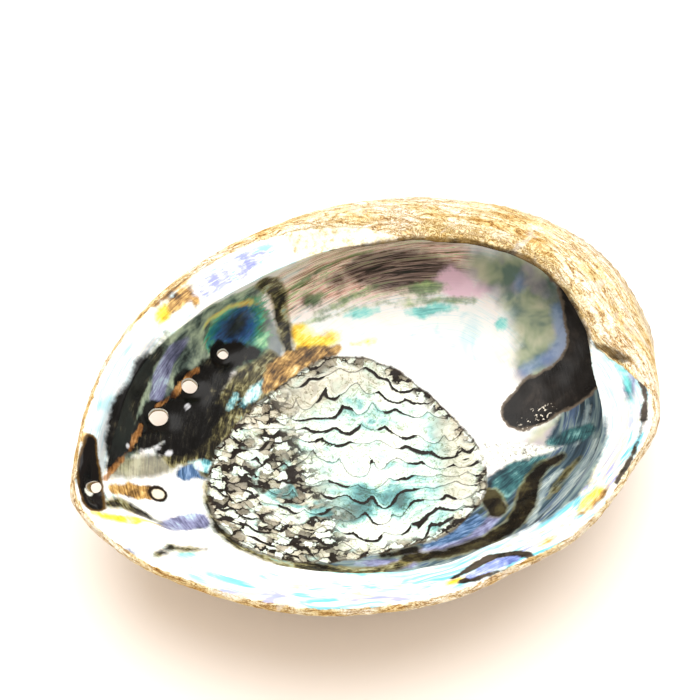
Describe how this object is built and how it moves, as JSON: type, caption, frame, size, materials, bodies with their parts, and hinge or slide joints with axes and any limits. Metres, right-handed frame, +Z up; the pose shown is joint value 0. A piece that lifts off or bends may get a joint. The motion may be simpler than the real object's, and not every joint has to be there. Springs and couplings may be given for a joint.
{
  "type": "abalone shell",
  "caption": "Abalone shell lying on its back: a pearly oval bowl with a folded ledge, a row of open pores, a grown muscle scar and a crusted outside.",
  "frame": {"origin": "under the middle of the shell's box, on the surface it rests on", "axes": "+Z up out of the bowl, +X along the length towards the spire end, -X towards the end where the row of pores runs out, +Y towards the side with the row of pores and the broad flat ledge"},
  "size_m": [0.156, 0.1174, 0.0401],
  "materials": {
    "shell": "glossy pearly nacre inside, dull lime crust outside"
  },
  "bodies": {
    "root": {"shell": "shell"}
  },
  "joints": []
}
